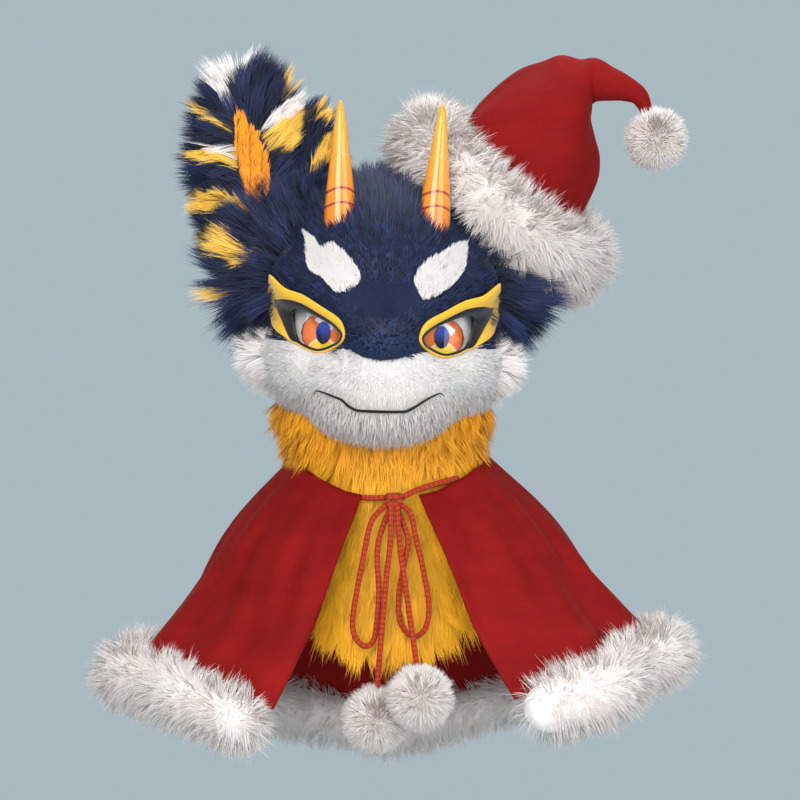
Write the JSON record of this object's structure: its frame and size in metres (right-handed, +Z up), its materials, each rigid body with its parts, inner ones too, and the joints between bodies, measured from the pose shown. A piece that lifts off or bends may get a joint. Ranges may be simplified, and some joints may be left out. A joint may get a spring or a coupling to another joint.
{
  "type": "fursuit head with santa hat and cape",
  "caption": "Costume animal head in long blue, white and yellow fur with glossy horns, worn with a red velvet Santa hat and a short velvet cape with a white fur trim and a pompom tie.",
  "frame": {"origin": "middle of the neck opening, at the level where the tie cord crosses the wearer's neck", "axes": "+Z up along the neck, the face looks along -Y, and -X is the wearer's right"},
  "size_m": [0.6523, 0.5011, 0.7984],
  "materials": {
    "navy_fur": "long pile, dark navy blue",
    "white_fur": "long pile, soft white",
    "yellow_fur": "long pile, golden yellow",
    "orange_fur": "short pile, orange",
    "red_velvet": "crushed velvet, deep red",
    "red_cord": "braided, red-orange",
    "horn_resin": "glossy, orange",
    "foam": "matt, charcoal",
    "black_felt": "matt black",
    "yellow_felt": "matt golden yellow",
    "eye_shell": "matt pale grey",
    "iris_print": "satin red-orange",
    "pupil_print": "satin dark blue"
  },
  "bodies": {
    "root": {"bow_knot": "red_cord", "bow_loop_left": "red_cord", "bow_loop_right": "red_cord", "brow_patch_left": "white_fur", "brow_patch_right": "white_fur", "cape": "red_velvet", "cape_trim": "white_fur", "cheek_fluff_left": "white_fur", "cheek_fluff_right": "white_fur", "cheek_patch": "yellow_fur", "cheek_tuft_left": "navy_fur", "cheek_tuft_right": "navy_fur", "ear_left": "navy_fur", "ear_lobe": "navy_fur", "ear_patch_high": "yellow_fur", "ear_patch_low": "yellow_fur", "ear_patch_mid": "yellow_fur", "ear_right": "navy_fur", "ear_stripe": "orange_fur", "ear_tip": "white_fur", "eye_liner_left": "black_felt", "eye_liner_right": "black_felt", "eye_outline_left": "yellow_felt", "eye_outline_right": "yellow_felt", "eye_white_left": "eye_shell", "eye_white_right": "eye_shell", "face_fur": "navy_fur", "hat": "red_velvet", "hat_band": "white_fur", "hat_pompom": "white_fur", "head_foam": "foam", "horn_left": "horn_resin", "horn_right": "horn_resin", "iris_left": "iris_print", "iris_right": "iris_print", "jaw_fur": "white_fur", "mouth_seam": "black_felt", "muzzle_fur": "white_fur", "neck_fur": "yellow_fur", "neck_tie_left": "red_cord", "neck_tie_right": "red_cord", "nose_pad": "navy_fur", "pompom_left": "white_fur", "pompom_right": "white_fur", "pupil_left": "pupil_print", "pupil_right": "pupil_print", "tie_end_left": "red_cord", "tie_end_right": "red_cord"}
  },
  "joints": []
}
